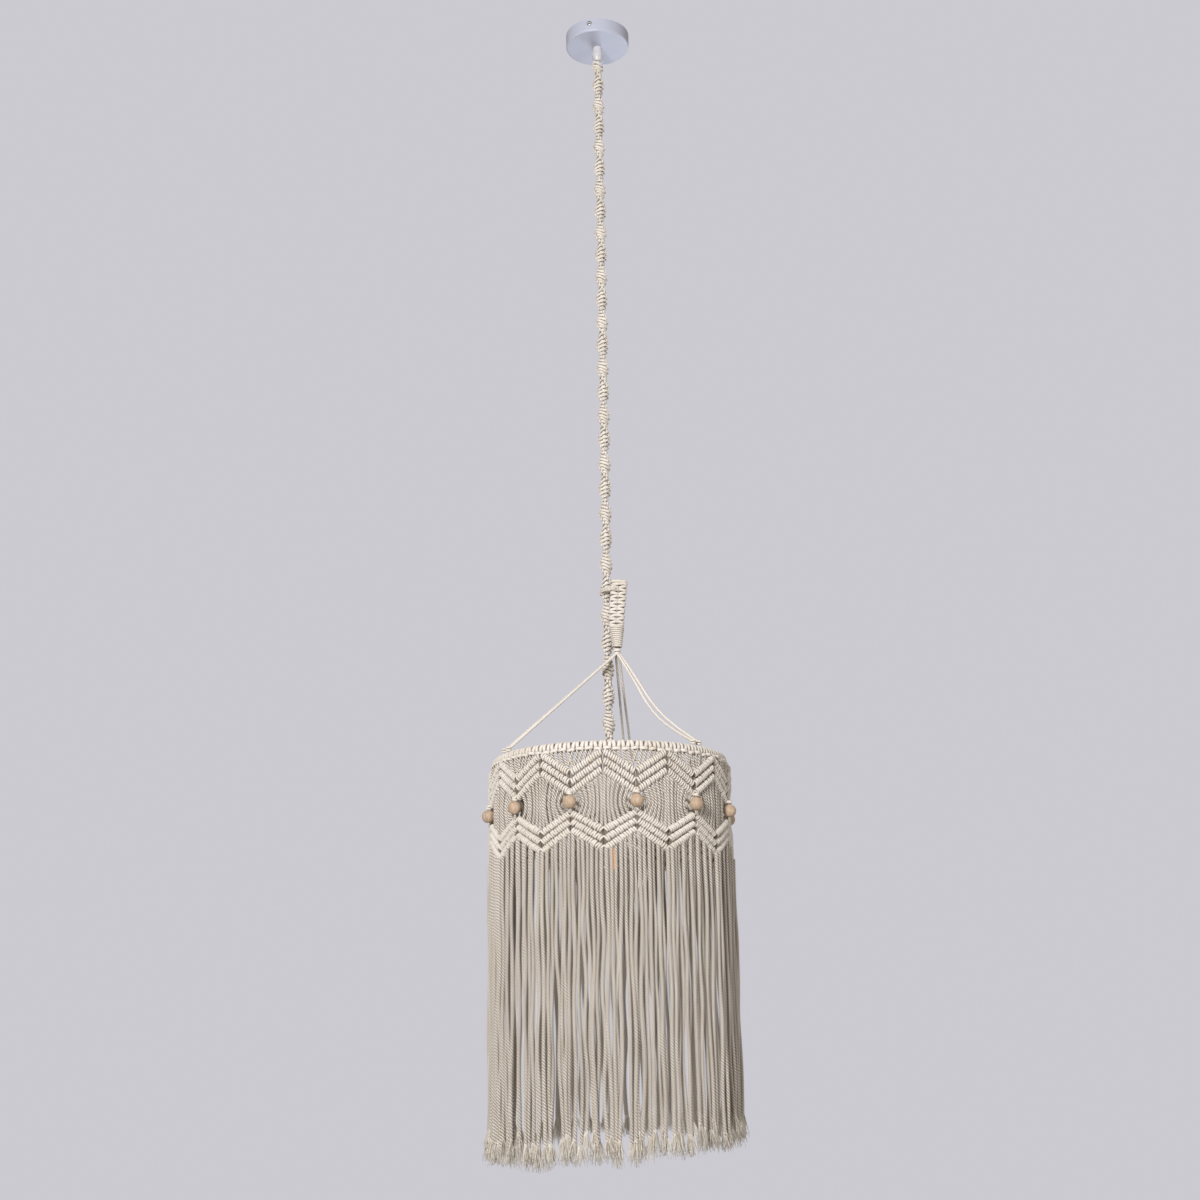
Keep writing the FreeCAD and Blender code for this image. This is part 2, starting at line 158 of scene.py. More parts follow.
def cotton(name, pale=COTTON, mottled=COTTON_MOTTLED, fibre_scale=900.0, bump=0.35):
    """Matte cotton: mottled cream, fine fibres across the surface and a soft sheen."""
    material = bpy.data.materials.new(name)
    material.use_nodes = True
    tree = material.node_tree
    shader = tree.nodes["Principled BSDF"]
    shader.inputs["Roughness"].default_value = 0.92
    shader.inputs["Sheen Weight"].default_value = 0.35
    shader.inputs["Sheen Roughness"].default_value = 0.5
    shader.inputs["Specular IOR Level"].default_value = 0.18
    where = tree.nodes.new("ShaderNodeTexCoord")
    patches = tree.nodes.new("ShaderNodeTexNoise")
    patches.inputs["Scale"].default_value = 38.0
    patches.inputs["Detail"].default_value = 5.0
    fibres = tree.nodes.new("ShaderNodeTexNoise")
    fibres.inputs["Scale"].default_value = fibre_scale
    fibres.inputs["Detail"].default_value = 3.0
    blend = tree.nodes.new("ShaderNodeMix")
    blend.data_type = "FLOAT"
    blend.inputs["Factor"].default_value = 0.45
    ramp = tree.nodes.new("ShaderNodeValToRGB")
    ramp.color_ramp.elements[0].position, ramp.color_ramp.elements[0].color = 0.30, mottled
    ramp.color_ramp.elements[1].position, ramp.color_ramp.elements[1].color = 0.56, pale
    # Painted shade: this attribute mixes the dark brown into the colour deep in knots and between strands.
    depth = tree.nodes.new("ShaderNodeAttribute")
    depth.attribute_name = GROOVE_SHADE
    shade = tree.nodes.new("ShaderNodeMapRange")
    shade.interpolation_type = "SMOOTHSTEP"
    shade.inputs["From Min"].default_value = 0.15
    shade.inputs["To Max"].default_value = 0.85
    colour = tree.nodes.new("ShaderNodeMix")
    colour.data_type = "RGBA"
    colour.inputs["B"].default_value = COTTON_PAINTED_SHADE
    raised = tree.nodes.new("ShaderNodeBump")
    raised.inputs["Strength"].default_value = bump
    raised.inputs["Distance"].default_value = 0.0004
    link = tree.links.new
    link(where.outputs["Object"], patches.inputs["Vector"])
    link(where.outputs["Object"], fibres.inputs["Vector"])
    link(patches.outputs["Fac"], blend.inputs["A"])
    link(fibres.outputs["Fac"], blend.inputs["B"])
    link(blend.outputs["Result"], ramp.inputs["Fac"])
    link(depth.outputs["Fac"], shade.inputs["Value"])
    link(shade.outputs["Result"], colour.inputs["Factor"])
    link(ramp.outputs["Color"], colour.inputs["A"])
    link(colour.outputs["Result"], shader.inputs["Base Color"])
    link(fibres.outputs["Fac"], raised.inputs["Height"])
    link(raised.outputs["Normal"], shader.inputs["Normal"])
    return material


cord_cotton = cotton("cotton_cord")


def mesh_of(bm, name):
    """A mesh from a bmesh, with its faces turned outwards."""
    bmesh.ops.recalc_face_normals(bm, faces=bm.faces[:])
    mesh = bpy.data.meshes.new(name)
    bm.to_mesh(mesh)
    bm.free()
    return mesh


def points_of(mesh):
    flat = np.empty(len(mesh.vertices) * 3)
    mesh.vertices.foreach_get("co", flat)
    return flat.reshape(-1, 3)


# Painted shade: how much of the dark brown each point of a mesh gets, 0 to 1.
def paint_shade(mesh, depth):
    layer = mesh.attributes.new(GROOVE_SHADE, "FLOAT", "POINT")
    layer.data.foreach_set("value", np.ascontiguousarray(depth, dtype=np.float32))


def painted_shade_of(mesh):
    depth = np.zeros(len(mesh.vertices), dtype=np.float32)
    layer = mesh.attributes.get(GROOVE_SHADE)
    if layer:
        layer.data.foreach_get("value", depth)
    return depth


def ring(long_r, short_r, cord_r, steps=14, sides=6, shade_strength=2.0):
    """One turn of cord lying flat round the origin, wider along X than along Y."""
    bm = bmesh.new()
    bmesh.ops.create_circle(bm, segments=sides, radius=cord_r,
                            matrix=Matrix.Translation((1, 0, 0)) @ Matrix.Rotation(math.pi / 2, 4, "X"))
    bmesh.ops.spin(bm, geom=bm.verts[:] + bm.edges[:], cent=(0, 0, 0), axis=(0, 0, 1),
                   dvec=(0, 0, 0), angle=2 * math.pi, steps=steps, use_merge=True)
    bmesh.ops.remove_doubles(bm, verts=bm.verts[:], dist=1e-5)
    for vertex in bm.verts:
        flat = Vector((vertex.co.x, vertex.co.y, 0))
        out = flat.length - 1
        way = flat.normalized()
        vertex.co = Vector((way.x * (long_r + out), way.y * (short_r + out), vertex.co.z))
    mesh = mesh_of(bm, "turn")
    # Painted shade on the inner side of the turn, stronger as the last argument grows.
    reach = np.linalg.norm(points_of(mesh) / ((long_r + cord_r), (short_r + cord_r), 1), axis=1)
    deepest = min(long_r - cord_r, short_r - cord_r) / (min(long_r, short_r) + cord_r)
    paint_shade(mesh, np.clip(shade_strength * (1 - reach) / (1 - deepest), 0, 1))
    return mesh


def placed(mesh, matrix):
    """Where a mesh's points go under a matrix."""
    flat = points_of(mesh)
    m = np.array(matrix)
    return flat @ m[:3, :3].T + m[:3, 3]


def piece(name, shapes, material, body):
    """One object from copies of meshes, each with the places of its points."""
    bm = bmesh.new()
    for mesh, _ in shapes:
        bm.from_mesh(mesh)
    joined = bpy.data.meshes.new(name)
    bm.to_mesh(joined)
    bm.free()
    joined.vertices.foreach_set("co", np.concatenate([p for _, p in shapes]).ravel())
    joined.polygons.foreach_set("use_smooth", [True] * len(joined.polygons))
    if GROOVE_SHADE in joined.attributes:
        joined.attributes.remove(joined.attributes[GROOVE_SHADE])
    paint_shade(joined, np.concatenate([painted_shade_of(mesh) for mesh, _ in shapes]))
    joined.update()
    joined.materials.append(material)
    made = bpy.data.objects.new(name, joined)
    bpy.context.scene.collection.objects.link(made)
    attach(made, body)
    return made


KNOT_PITCH = 0.0053
COVER_CORD_R = 0.0022
cover_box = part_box("cord_cover")
cover_top, cover_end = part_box("cover_top_knot")[1][2], cover_box[0][2]

KNOT_WIDE, KNOT_DEEP = 0.0060, 0.0031      # a half knot's reach to the sides and to the front
EDGE_AT = 0.0058          # where the cord doubles back at a knot's edge
HALF_TURN, HALF_TURN_GROWS = 0.0335, 0.004
KNOT_TILT, KNOT_LEAN = 20, 6
KNOT_SHIFT = 0.0003       # how far a hand-tied knot sits off the line
half_knot = ring(KNOT_WIDE, KNOT_DEEP, COVER_CORD_R)
knot_edge = ring(0.0016, 0.0011, 0.0019, steps=8, sides=5)


def knot_turns(z_from, z_to):
    """Half knots one below the other, each turned on from the last."""
    shapes, z, turn = [], z_from, 0.0
    random.seed(4)
    while z > z_to:
        sunk = (z - cover_top) / (cover_end - cover_top)
        half_turn = HALF_TURN + HALF_TURN_GROWS * sunk
        turn += math.pi * KNOT_PITCH / half_turn
        tilt = math.radians(KNOT_TILT + random.uniform(-4, 4))
        shift = (random.uniform(-1, 1) * KNOT_SHIFT, random.uniform(-1, 1) * KNOT_SHIFT, z)
        place = (Matrix.Translation(shift) @ Matrix.Rotation(turn, 4, "Z")
                 @ Matrix.Rotation(tilt, 4, "Y") @ Matrix.Rotation(math.radians(KNOT_LEAN), 4, "X"))
        shapes.append((half_knot, placed(half_knot, place)))
        for way in (-1, 1):
            edge = (Matrix.Translation((0, 0, z - KNOT_PITCH / 2)) @ Matrix.Rotation(turn, 4, "Z")
                    @ Matrix.Translation((way * EDGE_AT, 0, 0)) @ Matrix.Rotation(math.pi / 2, 4, "X"))
            shapes.append((knot_edge, placed(knot_edge, edge)))
        z -= KNOT_PITCH
    return shapes


# The first knot stays with the cord grip when the lamp swings; the rest starts a small gap below it.
FIRST_KNOT_DROP, TOP_END_DROP, SWING_GAP = 0.0036, 0.0042, 0.0052
top_end = cover_top - TOP_END_DROP
top_knot = piece("cover_first_knot", knot_turns(cover_top - FIRST_KNOT_DROP, top_end), cord_cotton,
                 "cord_top")
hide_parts("cover_top_knot")
cover = piece("knotted_cover", knot_turns(top_end - SWING_GAP, cover_end + 0.003), cord_cotton,
              "hanging_cord")
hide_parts("cord_cover")


# ---- Hanging loop ----
# A flat band of square knots folded over on itself, its two legs side by side; it carries the
# shade beside the flex and is lashed to the cover with a few turns of thin cord.
TURN = 0.0117             # length of one full turn of the cord's lay
STEPS_PER_TURN = 10


def paint_shade_over(mesh, depth):
    """Paint even shade over a whole piece of cord that lies deep between others."""
    mesh.attributes[GROOVE_SHADE].data.foreach_set("value", np.full(len(mesh.vertices), depth, dtype=np.float32))


def straight_cord(length, diameter, turn=TURN, valley=0.66, shade_strength=1.0):
    """Mesh of a laid cord from the origin down: a lobed ring swept and turned."""
    bm = bmesh.new()
    bmesh.ops.create_circle(bm, segments=6, radius=diameter / 2)
    for i, vertex in enumerate(bm.verts):
        if i % 2:
            vertex.co *= valley
    steps = max(2, round(length / turn * STEPS_PER_TURN))
    bmesh.ops.spin(bm, geom=bm.verts[:] + bm.edges[:], cent=(0, 0, 0), axis=(0, 0, 1),
                   dvec=(0, 0, -length / steps), angle=2 * math.pi * length / turn, steps=steps)
    bmesh.ops.holes_fill(bm, edges=[e for e in bm.edges if e.is_boundary], sides=6)
    mesh = mesh_of(bm, "cord")
    # Painted shade: the valleys between the lobes get the dark brown, scaled by the last argument.
    across = np.linalg.norm(points_of(mesh)[:, :2], axis=1)
    paint_shade(mesh, (across < diameter * (1 + valley) / 4) * shade_strength)
    return mesh


def even(line, samples):
    """The same line with its points at equal steps."""
    run = np.r_[0, np.cumsum(np.linalg.norm(np.diff(line, axis=0), axis=1))]
    wanted = np.linspace(0, run[-1], samples)
    return np.stack([np.interp(wanted, run, line[:, k]) for k in range(3)], axis=1)


def smooth_route(points, samples):
    """Evenly spaced points along a smooth open curve that starts and ends at the end points."""
    curve = bpy.data.curves.new("route", "CURVE")
    curve.dimensions = "3D"
    spline = curve.splines.new("NURBS")
    spline.points.add(len(points) - 1)
    for point, at in zip(spline.points, points):
        point.co = (*at, 1)
    spline.order_u = min(3, len(points))
    spline.use_endpoint_u = True
    spline.resolution_u = 12
    holder = bpy.data.objects.new("route", curve)
    line = points_of(bpy.data.meshes.new_from_object(holder))
    bpy.data.objects.remove(holder)
    return even(line, samples)


def length_of(line):
    return float(np.linalg.norm(np.diff(line, axis=0), axis=1).sum())


def laid_along(mesh, line, roll=0.0):
    """Where a straight downward mesh's points go when its axis follows the line."""
    flat = points_of(mesh)
    run = np.r_[0, np.cumsum(np.linalg.norm(np.diff(line, axis=0), axis=1))]
    ahead = np.gradient(line, axis=0)
    ahead /= np.linalg.norm(ahead, axis=1)[:, None]
    side = np.empty_like(ahead)
    first = np.array((1.0, 0.0, 0.0)) if abs(ahead[0][0]) < 0.9 else np.array((0.0, 1.0, 0.0))
    for i, way in enumerate(ahead):
        first = first - way * first.dot(way)
        first /= np.linalg.norm(first)
        side[i] = first
    up = np.cross(-ahead, side)
    where = np.clip(-flat[:, 2] * run[-1] / max(1e-9, -flat[:, 2].min()), 0, run[-1])

    def at(values):
        return np.stack([np.interp(where, run, values[:, k]) for k in range(3)], axis=1)

    turn = np.array(((math.cos(roll), -math.sin(roll)), (math.sin(roll), math.cos(roll))))
    across = flat[:, :2] @ turn.T
    return at(line) + at(side) * across[:, :1] + at(up) * across[:, 1:2]


loop_low, loop_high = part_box("hanging_loop")
LOOP_CORD_R = 0.0023
LOOP_LEAN = 0.0024        # the band's top leans away from the flex
loop_mid_x = (loop_low[0] + loop_high[0]) / 2
loop_y = (loop_low[1] + loop_high[1]) / 2
leg_half = (loop_high[0] - loop_low[0]) / 4
square_knot = ring(0.0040, 0.0030, LOOP_CORD_R, steps=12)

KNOTS_PER_LEG = 14
KNOT_TILTS = (-8, 11)     # knots lean to one side and the other in turn
band = []
for way in (-1, 1):
    out = way * leg_half
    leg = smooth_route([(loop_mid_x + out * 0.8 - LOOP_LEAN, loop_y, loop_low[2] + 0.001),
                        (loop_mid_x + out * 1.05 - LOOP_LEAN / 2, loop_y, loop_low[2] + 0.03),
                        (loop_mid_x + out + LOOP_LEAN, loop_y, loop_high[2] - 0.006)], KNOTS_PER_LEG)
    for i, at in enumerate(leg):
        tilt = math.radians(KNOT_TILTS[i % 2]) * way
        place = Matrix.Translation(at) @ Matrix.Rotation(tilt, 4, "Y")
        band.append((square_knot, placed(square_knot, place)))
    core = straight_cord(length_of(leg), 0.0050)
    band.append((core, laid_along(core, leg[::-1])))
# The cords inside, between the two legs, with painted shade over them.
inside_line = even(np.array([(loop_mid_x + LOOP_LEAN * 0.8, loop_y, loop_high[2] - 0.008),
                             (loop_mid_x - LOOP_LEAN * 0.8, loop_y, loop_low[2] + 0.004)]), 12)
inside = straight_cord(loop_high[2] - loop_low[2] - 0.012, 0.0062)
paint_shade_over(inside, 0.8)
band.append((inside, laid_along(inside, inside_line)))
fold = ring(1.7 * leg_half, 0.0034, LOOP_CORD_R, steps=20)
for drop, tilt in ((0.0023, 3), (0.0062, -2)):
    place = (Matrix.Translation((loop_mid_x + LOOP_LEAN, loop_y, loop_high[2] - drop))
             @ Matrix.Rotation(math.radians(tilt), 4, "Y"))
    band.append((fold, placed(fold, place)))
loop_band = piece("knotted_loop", band, cord_cotton, "hanging_cord")
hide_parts("hanging_loop")

# Three turns of thin cord lash the loop's top to the covered flex, through the loop's eye.
TIE_D = 0.0018
TIE_TURNS = 3
tie_low, tie_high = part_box("loop_tie")
tie_west, tie_east = tie_low[0] + TIE_D, tie_high[0] - TIE_D
tie_south, tie_north = tie_low[1] + TIE_D / 2, tie_high[1] - TIE_D / 2
lashing = []
for i in range(TIE_TURNS):
    z = tie_high[2] - TIE_D * (i + 0.5)
    corners = [(tie_east, 0.5 * tie_south), (tie_east, tie_south), (0.35 * tie_east, tie_south),
               (0.8 * tie_west, 0.55 * tie_south), (1.05 * tie_west, 0), (tie_west, tie_north),
               (0, 1.1 * tie_north), (0.5 * tie_east, tie_north), (0.9 * tie_east, 0.0)]
    corners.append(corners[0])
    tie_route = smooth_route([(x, y, z - TIE_D * n / len(corners)) for n, (x, y) in enumerate(corners)], 60)
    # Only light painted shade in the valleys of this thin cord.
    turn_of_tie = straight_cord(length_of(tie_route), TIE_D, turn=0.006, valley=0.85, shade_strength=0.2)
    lashing.append((turn_of_tie, laid_along(turn_of_tie, tie_route)))
lashed = piece("lashed_tie", lashing, cord_cotton, "hanging_cord")
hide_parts("loop_tie")


# ---- Gathering wrap ----
# Thin cord wound about ten turns round the ends of the loop, tightening downwards. A plain cone
# stands for the loop's cords inside the turns.
wrap_low, wrap_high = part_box("gathering_wrap")
wrap_x, wrap_y = (wrap_low[0] + wrap_high[0]) / 2, (wrap_low[1] + wrap_high[1]) / 2
WRAP_TURNS = 10
winding = []
for i in range(WRAP_TURNS):
    share = (i + 0.5) / WRAP_TURNS
    radius = 0.0086 - 0.0034 * share
    turn_of_cord = ring(radius, radius, 0.00155, steps=18)
    z = wrap_high[2] + (wrap_low[2] - wrap_high[2]) * share
    place = Matrix.Translation((wrap_x, wrap_y, z)) @ Matrix.Rotation(math.radians(5), 4, "Y")
    winding.append((turn_of_cord, placed(turn_of_cord, place)))
core = bmesh.new()
bmesh.ops.create_cone(core, cap_ends=True, segments=16, radius1=0.0049, radius2=0.0079,
                      depth=wrap_high[2] - wrap_low[2] - 0.001)
core = mesh_of(core, "wrap_core")
winding.append((core, placed(core, Matrix.Translation((wrap_x, wrap_y, (wrap_high[2] + wrap_low[2]) / 2)))))
wrap = piece("wound_wrap", winding, cord_cotton, "hanging_cord")
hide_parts("gathering_wrap")


# ---- Suspension cords ----
# Three pairs of thinner cord from the gathering knot to the hoop. The left and back pairs carry
# the shade and are straight; the right pair is slack and sags. Each ends in a knot on the hoop.
STRING_D = 0.0036
GATHER = Vector((0.013, -0.012, -0.943))
HOOP_R, KNOT_Z, KNOT_R = 0.148, -1.0846, 0.0035
STRING_PAIRS = (("left", (-65.5, -61.0), ()),
                ("back", (166.6, 170.6), ()),
                ("right", (45.5, 50.0), ((0.20, 0.007), (0.43, 0.021), (0.70, 0.017))))
UNEVEN_SAG = (1.13, 0.88)  # one cord of a slack pair hangs lower than the other


def at_azimuth(degrees, radius, z):
    """A point at an azimuth from the front, a distance from the lamp's axis and a height."""
    a = math.radians(degrees)
    return (radius * math.sin(a), -radius * math.cos(a), z)


string_ends = []
for label, azimuths, sags in STRING_PAIRS:
    for side, azimuth in zip((-1, 1), azimuths):
        foot = Vector(at_azimuth(azimuth, HOOP_R, KNOT_Z))
        string_ends.append(foot)
        outward = Vector((foot.x - GATHER.x, foot.y - GATHER.y, 0)).normalized()
        head = (GATHER + Vector((-outward.y, outward.x, 0)) * 0.0021 * side + outward * 0.0026
                + Vector((0, 0, -0.0049)))
        reach = foot - head
        foot = head + reach * (reach.length - KNOT_R - 0.0001) / reach.length
        slack = UNEVEN_SAG[side > 0]
        middle = [head + (foot - head) * t - Vector((0, 0, drop * slack)) for t, drop in sags]
        if not sags:
            middle = [head + (foot - head) * t for t in (0.3, 0.7)]
        route = smooth_route([head] + middle + [foot], 60)
        length = length_of(route)
        # Only light painted shade in the valleys of the suspension cords.
        strand = straight_cord(length, STRING_D, turn=0.0085, valley=0.84, shade_strength=0.25)
        name = "string_%s_%d" % (label, 1 if side < 0 else 2)
        string = piece(name, [(strand, laid_along(strand, route))], cord_cotton, "shade")
        if side < 0:
            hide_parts("string_pair_" + label)

string_knot = ring(0.0023, 0.0023, 0.0017, steps=12)
end_knots = []
for foot in string_ends:
    for lift, lean in ((-0.0011, 14), (0.0011, -14)):
        leaning = Matrix.Rotation(math.radians(lean), 4, "X")
        place = Matrix.Translation(foot + Vector((0, 0, lift))) @ leaning
        end_knots.append((string_knot, placed(string_knot, place)))
hoop_knots = piece("string_hoop_knots", end_knots, cord_cotton, "shade")
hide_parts("string_end_knots")

gather_turns = []
for lift, radius, lean in ((0.0018, 0.0028, 8), (-0.0006, 0.0033, -10), (-0.0028, 0.0024, 12)):
    gather_turn = ring(radius, radius, 0.0017, steps=14)
    place = Matrix.Translation(GATHER + Vector((0, 0, lift))) @ Matrix.Rotation(math.radians(lean), 4, "X")
    gather_turns.append((gather_turn, placed(gather_turn, place)))
gather_ball = bmesh.new()
bmesh.ops.create_uvsphere(gather_ball, u_segments=14, v_segments=10, radius=0.0036)
gather_ball = mesh_of(gather_ball, "gather_core")
gather_turns.append((gather_ball, placed(gather_ball, Matrix.Translation(GATHER))))
gather_knot = piece("gathering_knot", gather_turns, cord_cotton, "shade_gather")
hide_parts("gather_knot")


# ---- Hoop and its row of knots ----
# A 4 mm steel hoop, hidden under lark's head knots: seven to a repeat of the pattern. Each knot is
# two turns over the hoop held by a bar across the front, and its two ends hang down as strands.
REPEATS, KNOTS_PER_REPEAT = 12, 7
STRANDS = 2 * KNOTS_PER_REPEAT
STEP = 360.0 / REPEATS
STRAND_STEP = STEP / STRANDS
FIRST_BEAD = 11.8
CORD_D = 0.0048
HOOP_Z = -1.095
SHADE_R = 0.1555
bead_azimuths = [FIRST_BEAD + STEP * i for i in range(REPEATS)]


def facing_out(azimuth, radius, z):
    """A frame at a place on the shade: X to the right, -Y outwards, Z up."""
    turned = Matrix.Rotation(math.radians(azimuth), 4, "Z")
    return Matrix.Translation(at_azimuth(azimuth, radius, z)) @ turned


HEAD_TURN_R, HEAD_CORD_R = 0.0045, 0.0026
HEAD_PRESSED = 1.14       # the turns are pressed flat against their neighbours
BAR_OUT, BAR_DROP = 0.0052, 0.0046         # the bar's place before and below the hoop's middle
# Strong painted shade on the insides of the turns over the hoop.
over_hoop = ring(HEAD_TURN_R, HEAD_TURN_R, HEAD_CORD_R, steps=14, shade_strength=2.5)
over_hoop.transform(Matrix.Diagonal((HEAD_PRESSED, 1, 1, 1)) @ Matrix.Rotation(math.pi / 2, 4, "Y"))
bar = ring(0.0034, 0.0018, 0.0025, steps=12)
random.seed(11)
heads = []
for bead in bead_azimuths:
    for k in range(-(KNOTS_PER_REPEAT // 2), KNOTS_PER_REPEAT // 2 + 1):
        azimuth = bead + 2 * STRAND_STEP * k
        for way in (-1, 1):
            lean = math.radians(7 * way + random.uniform(-7, 7))
            place = (facing_out(azimuth + way * STRAND_STEP * 0.52, HOOP_R, HOOP_Z)
                     @ Matrix.Rotation(lean, 4, "Y"))
            heads.append((over_hoop, placed(over_hoop, place)))
        bar_z = HOOP_Z - BAR_DROP + random.uniform(-1, 1) * 0.0009
        place = (facing_out(azimuth, HOOP_R + BAR_OUT, bar_z)
                 @ Matrix.Rotation(math.radians(random.uniform(-12, 12)), 4, "Y"))
        heads.append((bar, placed(bar, place)))
head_row = piece("larks_heads", heads, cord_cotton, "shade")
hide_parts("larks_head_row")


# ---- Knotted bands ----
# Two zigzag bands of double half hitches, three ridges each. A ridge is one strand laid across the
# others, and each strand that it meets is hitched round it twice, so it is a row of short turns.
RIDGES = 3
RIDGE_INSET = 0.4         # degrees that a ridge stops short of the point where two of them meet
HITCH_SHIFT = 0.00022     # how far a hand-tied hitch sits off the line
HITCH_R, HITCH_CORD_R = 0.0028, 0.00178
UPPER = {"peak": -1.1028, "low": -1.1290, "peak_gap": 0.0112, "low_gap": 0.0122}
LOWER = {"peak": -1.1785, "low": -1.2010, "peak_gap": 0.0100, "low_gap": 0.0113}
# Strong painted shade on the insides of the hitches.
hitch = ring(HITCH_R, HITCH_R, HITCH_CORD_R, steps=12, sides=6, shade_strength=2.9)


def plain_strand(name, radius, sides, depth):
    """A round strand one unit long, with even painted shade because the hitches hide it."""
    bm = bmesh.new()
    bmesh.ops.create_cone(bm, cap_ends=True, segments=sides, radius1=radius, radius2=radius, depth=1.0)
    mesh = mesh_of(bm, name)
    paint_shade(mesh, np.full(len(mesh.vertices), depth))
    return mesh


filler = plain_strand("filler", 0.0025, 8, 0.7)
short_strand = plain_strand("short_strand", 0.0024, 6, 0.95)


def ridge_height(tier, ridge, share):
    """Height of a ridge's middle, share 0 at the peak and 1 at the low point."""
    top = tier["peak"] - ridge * tier["peak_gap"]
    low = tier["low"] - ridge * tier["low_gap"]
    return top + (low - top) * share


def ridge_place(bead, offset, tier, ridge, low_at_bead):
    """A point on a ridge, an angle away from a bead."""
    share = abs(offset) / (STEP / 2)
    share = 1 - share if low_at_bead else share
    return Vector(at_azimuth(bead + offset, SHADE_R, ridge_height(tier, ridge, share)))


def knotted_band(name, tier, low_at_bead, node, seed):
    """One zigzag band in place of its CAD node; its low points are at the beads or between them."""
    random.seed(seed)
    shapes = []
    for bead in bead_azimuths:
        for ridge in range(RIDGES):
            for way in (-1, 1):
                start = ridge_place(bead, way * RIDGE_INSET, tier, ridge, low_at_bead)
                end = ridge_place(bead, way * (STEP / 2 - RIDGE_INSET), tier, ridge, low_at_bead)
                along = end - start
                middle = (start + end) / 2
                face = facing_out(bead + way * STEP / 4, 0, 0).to_3x3()
                x_axis = along.normalized()
                y_axis = (face @ Vector((0, 1, 0)))
                y_axis = (y_axis - x_axis * y_axis.dot(x_axis)).normalized()
                basis = Matrix((x_axis, y_axis, x_axis.cross(y_axis))).transposed().to_4x4()
                rod = (Matrix.Translation(middle) @ basis @ Matrix.Rotation(math.pi / 2, 4, "Y")
                       @ Matrix.Diagonal((1, 1, along.length, 1)))
                shapes.append((filler, placed(filler, rod)))
                for i in range(STRANDS):
                    share = (i + 0.5) / STRANDS
                    offset = way * (RIDGE_INSET + (STEP / 2 - 2 * RIDGE_INSET) * share)
                    at = ridge_place(bead, offset, tier, ridge, low_at_bead)
                    at += HITCH_SHIFT * Vector([random.uniform(-1, 1) for _ in range(3)])
                    lean = math.radians(13 * (1 if i % 2 else 0.5) + random.uniform(-5, 5))
                    size = random.uniform(0.94, 1.06)
                    turn = (Matrix.Translation(at) @ basis @ Matrix.Rotation(math.pi / 2, 4, "Y")
                            @ Matrix.Rotation(lean * way, 4, "Y") @ Matrix.Diagonal((size, size, 1, 1)))
                    shapes.append((hitch, placed(hitch, turn)))
        for k in range(STRANDS):          # the strands that pass behind from ridge to ridge
            offset = (k - (STRANDS - 1) / 2) * STRAND_STEP
            high = ridge_place(bead, offset, tier, 0, low_at_bead)
            low = ridge_place(bead, offset, tier, RIDGES - 1, low_at_bead)
            behind = facing_out(bead + offset, SHADE_R - 0.0012, (high.z + low.z) / 2)
            place = behind @ Matrix.Diagonal((1, 1, high.z - low.z, 1))
            shapes.append((short_strand, placed(short_strand, place)))
    band = piece(name, shapes, cord_cotton, "shade")
    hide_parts(node)


knotted_band("upper_knotted_band", UPPER, True, "upper_chevron_band", 21)
knotted_band("lower_knotted_band", LOWER, False, "lower_chevron_band", 22)


# ---- Strands between the rows ----
# Short strands slant from the hoop's knots to the first ridge; longer ones run from the upper band
# to the lower one and bow out round each bead.
def strand_along(points, diameter=CORD_D, samples=24):
    """A strand through the points, with its lay started anywhere."""
    route = smooth_route(points, samples)
    mesh = straight_cord(length_of(route), diameter)
    return mesh, laid_along(mesh, route, random.uniform(0, 2 * math.pi))


random.seed(31)
slants = []
for bead in bead_azimuths:
    for k in range(STRANDS):
        offset = (k - (STRANDS - 1) / 2) * STRAND_STEP
        share = 1 - abs(offset) / (STEP / 2)
        if share < 0.14:
            continue
        top = HOOP_Z - 0.0060
        lean = -math.copysign(1, offset) * STRAND_STEP * (0.3 + 1.1 * share) * random.uniform(0.6, 1.3)
        foot_share = 1 - abs(offset + lean) / (STEP / 2)
        low = ridge_height(UPPER, 0, foot_share) + 0.001
        radius = SHADE_R - 0.002 + random.uniform(-0.0015, 0.0012)
        slants.append(strand_along([at_azimuth(bead + offset, radius, top),
                                    at_azimuth(bead + offset + lean * 0.3, radius + 0.001, (top + low) / 2),
                                    at_azimuth(bead + offset + lean, radius, low)], diameter=0.0044))
slant_cords = piece("slanting_cords", slants, cord_cotton, "shade")
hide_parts("head_cords")

